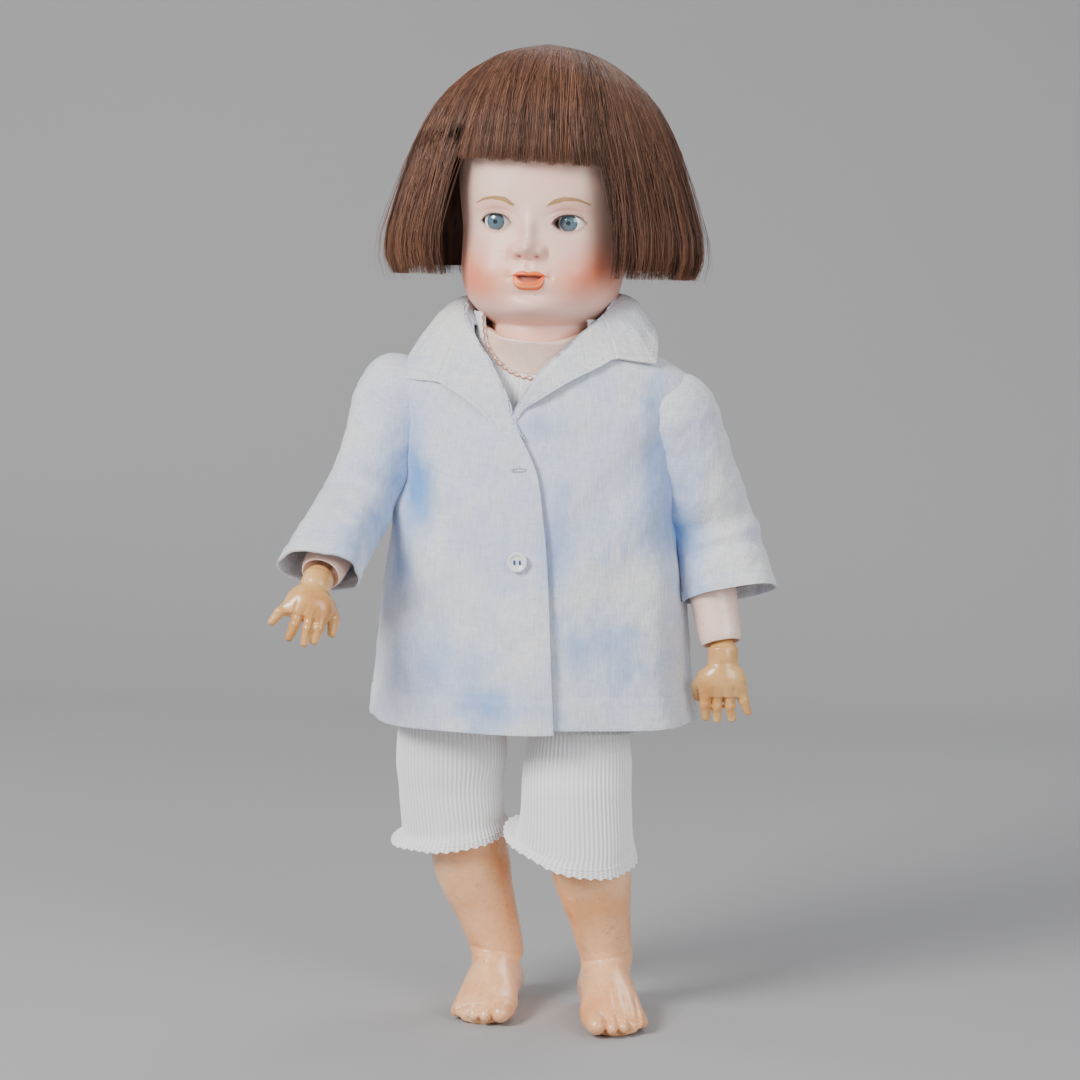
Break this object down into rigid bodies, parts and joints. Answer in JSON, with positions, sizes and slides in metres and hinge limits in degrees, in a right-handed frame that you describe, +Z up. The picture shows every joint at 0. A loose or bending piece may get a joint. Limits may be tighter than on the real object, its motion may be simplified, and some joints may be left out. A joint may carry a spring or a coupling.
{
  "type": "jointed character doll",
  "caption": "Free-standing bisque-headed character doll with bobbed wig, ball-strung composition body, pale blue linen jacket and knitted drawers.",
  "frame": {"origin": "on the floor under the middle of the figure's bounding box", "axes": "+Z up, -Y the way the doll faces, +X the doll's left; the doll stands with its head up"},
  "size_m": [0.265, 0.1862, 0.5524],
  "materials": {
    "skin": "painted composition, eggshell varnish",
    "forearm_skin": "painted composition, eggshell",
    "hand_skin": "painted composition with aged varnish",
    "ball": "turned and painted",
    "bisque": "unglazed fired bisque with painted cheeks, brows, lashes and lips",
    "mouth": "matt",
    "pate": "pressed card",
    "hair": "brown hair wig, satin",
    "eye_glass": "blown glass, blue-grey, opaque backed",
    "lead": "cast lead, dull",
    "iron_wire": "bent iron wire",
    "neck_button": "bare turned wood",
    "elastic": "cotton covered elastic",
    "blue_linen": "woven linen, faded pale blue",
    "white_knit": "fine ribbed cotton knit",
    "button": "glossy white"
  },
  "bodies": {
    "torso": {"torso": "skin", "jacket": "blue_linen", "collar": "blue_linen", "undershirt": "white_knit", "drawers_seat": "white_knit", "button": "button", "arm_elastic": "elastic", "leg_elastic_r": "elastic", "leg_elastic_l": "elastic"},
    "neck": {"neck_button": "neck_button", "neck_hook": "iron_wire"},
    "head": {"head": "bisque", "mouth_lining": "mouth", "pate": "pate", "wig": "hair"},
    "eyes": {"eye_r": "eye_glass", "eye_l": "eye_glass", "eye_rocker": "iron_wire", "eye_weight": "lead"},
    "shoulder_ball_r": {"shoulder_ball_r": "ball"},
    "upper_arm_r": {"upper_arm_r": "skin", "sleeve_r": "blue_linen"},
    "elbow_ball_r": {"elbow_ball_r": "ball"},
    "forearm_r": {"forearm_r": "forearm_skin"},
    "hand_r": {"hand_r": "hand_skin", "hand_hook_r": "iron_wire"},
    "hip_ball_r": {"hip_ball_r": "ball"},
    "thigh_r": {"thigh_r": "skin", "drawers_leg_r": "white_knit"},
    "knee_ball_r": {"knee_ball_r": "ball"},
    "shin_r": {"shin_r": "skin", "shin_pin_r": "iron_wire"},
    "shoulder_ball_l": {"shoulder_ball_l": "ball"},
    "upper_arm_l": {"upper_arm_l": "skin", "sleeve_l": "blue_linen"},
    "elbow_ball_l": {"elbow_ball_l": "ball"},
    "forearm_l": {"forearm_l": "forearm_skin"},
    "hand_l": {"hand_l": "hand_skin", "hand_hook_l": "iron_wire"},
    "hip_ball_l": {"hip_ball_l": "ball"},
    "thigh_l": {"thigh_l": "skin", "drawers_leg_l": "white_knit"},
    "knee_ball_l": {"knee_ball_l": "ball"},
    "shin_l": {"shin_l": "skin", "shin_pin_l": "iron_wire"}
  },
  "joints": [
    {"name": "neck_turn", "type": "hinge", "parent": "torso", "child": "neck", "pos_m": [-0.00053, 0.01265, 0.40296], "axis": [0.0698, 0, 0.9976], "range_deg": [-45, 45], "deforming": ["collar"]},
    {"name": "head_nod", "type": "hinge", "parent": "neck", "child": "head", "pos_m": [-0.00053, 0.01265, 0.40296], "axis": [0.9988, 0.0419, -0.0262], "range_deg": [-8, 10]},
    {"name": "eye_roll", "type": "hinge", "parent": "head", "child": "eyes", "pos_m": [0.00186, -0.01269, 0.45394], "axis": [0.9988, 0.0419, -0.0262], "range_deg": [0, 55]},
    {"name": "shoulder_swing_r", "type": "hinge", "parent": "torso", "child": "shoulder_ball_r", "pos_m": [-0.07781, 0.01265, 0.35874], "axis": [0.9976, 0, -0.0698], "range_deg": [-60, 25], "deforming": ["sleeve_r", "arm_elastic"]},
    {"name": "shoulder_raise_r", "type": "hinge", "parent": "shoulder_ball_r", "child": "upper_arm_r", "pos_m": [-0.07781, 0.01265, 0.35874], "axis": [0, 1, 0], "range_deg": [-3, 30], "deforming": ["undershirt"]},
    {"name": "elbow_bend_r", "type": "hinge", "parent": "upper_arm_r", "child": "elbow_ball_r", "pos_m": [-0.10243, -0.01181, 0.29395], "axis": [-0.9036, -0.1517, 0.4007], "range_deg": [-35, 18]},
    {"name": "forearm_twist_r", "type": "hinge", "parent": "elbow_ball_r", "child": "forearm_r", "pos_m": [-0.10243, -0.01181, 0.29395], "axis": [-0.0857, -0.8524, -0.5159], "range_deg": [-25, 25]},
    {"name": "wrist_turn_r", "type": "hinge", "parent": "forearm_r", "child": "hand_r", "pos_m": [-0.10839, -0.07105, 0.2581], "axis": [-0.0857, -0.8524, -0.5159], "range_deg": [-60, 60]},
    {"name": "hip_swing_r", "type": "hinge", "parent": "torso", "child": "hip_ball_r", "pos_m": [-0.0524, 0.01265, 0.18455], "axis": [0.9976, 0, -0.0698], "range_deg": [-40, 10], "deforming": ["drawers_leg_r", "leg_elastic_r", "drawers_seat"]},
    {"name": "hip_spread_r", "type": "hinge", "parent": "hip_ball_r", "child": "thigh_r", "pos_m": [-0.0524, 0.01265, 0.18455], "axis": [0, 1, 0], "range_deg": [-2, 18]},
    {"name": "knee_bend_r", "type": "hinge", "parent": "thigh_r", "child": "knee_ball_r", "pos_m": [-0.0477, 0.01686, 0.12036], "axis": [0.98, 0, 0.199], "range_deg": [-8, 40]},
    {"name": "shin_turn_r", "type": "hinge", "parent": "knee_ball_r", "child": "shin_r", "pos_m": [-0.0477, 0.01686, 0.12036], "axis": [0.1953, 0.1914, -0.9619], "range_deg": [-15, 15]},
    {"name": "shoulder_swing_l", "type": "hinge", "parent": "torso", "child": "shoulder_ball_l", "pos_m": [0.06983, 0.01265, 0.34842], "axis": [0.9976, 0, -0.0698], "range_deg": [-60, 25], "deforming": ["sleeve_l", "jacket"]},
    {"name": "shoulder_raise_l", "type": "hinge", "parent": "shoulder_ball_l", "child": "upper_arm_l", "pos_m": [0.06983, 0.01265, 0.34842], "axis": [0, -1, 0], "range_deg": [-3, 30], "deforming": ["button"]},
    {"name": "elbow_bend_l", "type": "hinge", "parent": "upper_arm_l", "child": "elbow_ball_l", "pos_m": [0.08939, 0.02653, 0.27894], "axis": [-0.963, 0.0963, -0.2519], "range_deg": [-15, 38]},
    {"name": "forearm_twist_l", "type": "hinge", "parent": "elbow_ball_l", "child": "forearm_l", "pos_m": [0.08939, 0.02653, 0.27894], "axis": [0.2161, -0.2831, -0.9344], "range_deg": [-25, 25]},
    {"name": "wrist_turn_l", "type": "hinge", "parent": "forearm_l", "child": "hand_l", "pos_m": [0.10441, 0.00685, 0.214], "axis": [0.2161, -0.2831, -0.9344], "range_deg": [-60, 60]},
    {"name": "hip_swing_l", "type": "hinge", "parent": "torso", "child": "hip_ball_l", "pos_m": [0.02042, 0.01265, 0.17945], "axis": [0.9976, 0, -0.0698], "range_deg": [-30, 14], "deforming": ["drawers_leg_l", "leg_elastic_l"]},
    {"name": "hip_spread_l", "type": "hinge", "parent": "hip_ball_l", "child": "thigh_l", "pos_m": [0.02042, 0.01265, 0.17945], "axis": [0, -1, 0], "range_deg": [-2, 18]},
    {"name": "knee_bend_l", "type": "hinge", "parent": "thigh_l", "child": "knee_ball_l", "pos_m": [0.02624, -0.00436, 0.11751], "axis": [0.9956, 0, 0.0934], "range_deg": [-26, 22]},
    {"name": "shin_turn_l", "type": "hinge", "parent": "knee_ball_l", "child": "shin_l", "pos_m": [0.02624, -0.00436, 0.11751], "axis": [0.087, 0.3638, -0.9274], "range_deg": [-15, 15]}
  ]
}
